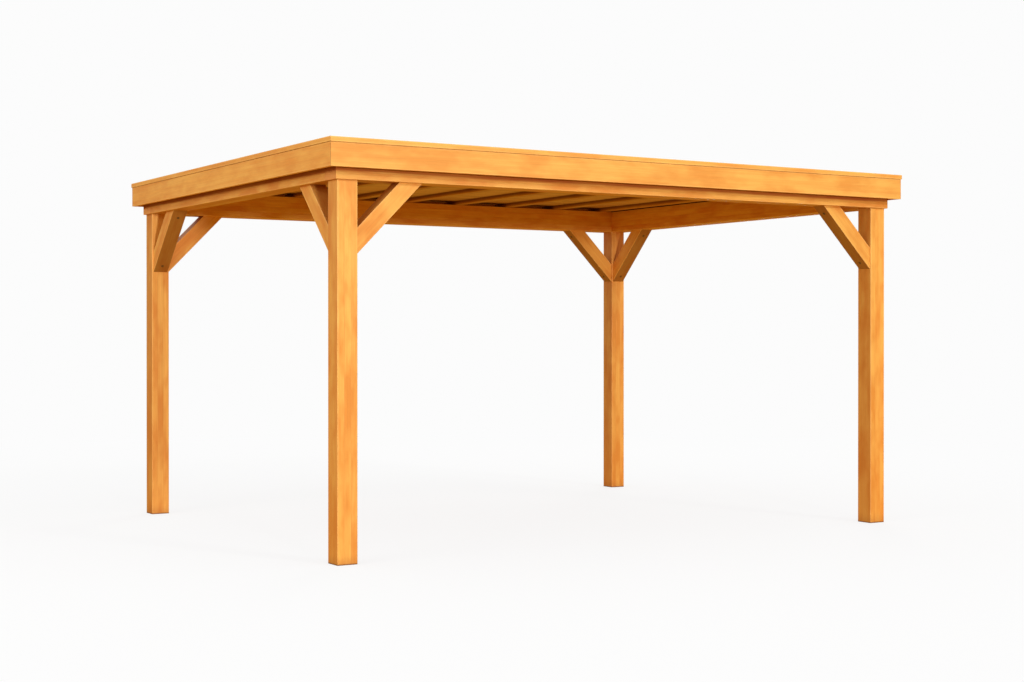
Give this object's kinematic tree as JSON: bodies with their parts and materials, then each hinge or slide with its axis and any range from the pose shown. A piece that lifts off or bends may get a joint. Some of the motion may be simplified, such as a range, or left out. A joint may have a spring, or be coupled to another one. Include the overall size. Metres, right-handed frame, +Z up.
{
  "type": "free-standing flat-roofed timber patio canopy on posts",
  "caption": "Flat-roofed timber canopy on square posts with knee braces, half-lapped ring beams, joists, boarded deck and mitred fascia.",
  "frame": {"origin": "on the ground, at the middle of the canopy's plan", "axes": "+X along the long side, to the right seen from the front; +Z up; the front faces -Y"},
  "size_m": [4.13, 3.25, 2.288],
  "materials": {
    "glulam": "satin",
    "planed_timber": "satin",
    "deck_boards": "satin",
    "membrane": "matte"
  },
  "bodies": {
    "root": {"post_front_left": "glulam", "post_front_right": "glulam", "post_back_left": "glulam", "post_back_right": "glulam", "beam_front": "glulam", "beam_back": "glulam", "beam_left": "glulam", "beam_right": "glulam", "brace_front_beam_left": "glulam", "brace_front_beam_right": "glulam", "brace_back_beam_left": "glulam", "brace_back_beam_right": "glulam", "brace_left_beam_front": "glulam", "brace_left_beam_back": "glulam", "brace_right_beam_front": "glulam", "brace_right_beam_back": "glulam", "joist_1": "planed_timber", "joist_2": "planed_timber", "joist_3": "planed_timber", "joist_4": "planed_timber", "joist_5": "planed_timber", "joist_6": "planed_timber", "joist_7": "planed_timber", "joist_8": "planed_timber", "joist_9": "planed_timber", "rim_joist_left": "planed_timber", "rim_joist_right": "planed_timber", "roof_deck": "deck_boards", "roof_membrane": "membrane", "fascia_front": "planed_timber", "fascia_back": "planed_timber", "fascia_left": "planed_timber", "fascia_right": "planed_timber", "cap_front": "planed_timber", "cap_back": "planed_timber", "cap_left": "planed_timber", "cap_right": "planed_timber"}
  },
  "joints": []
}
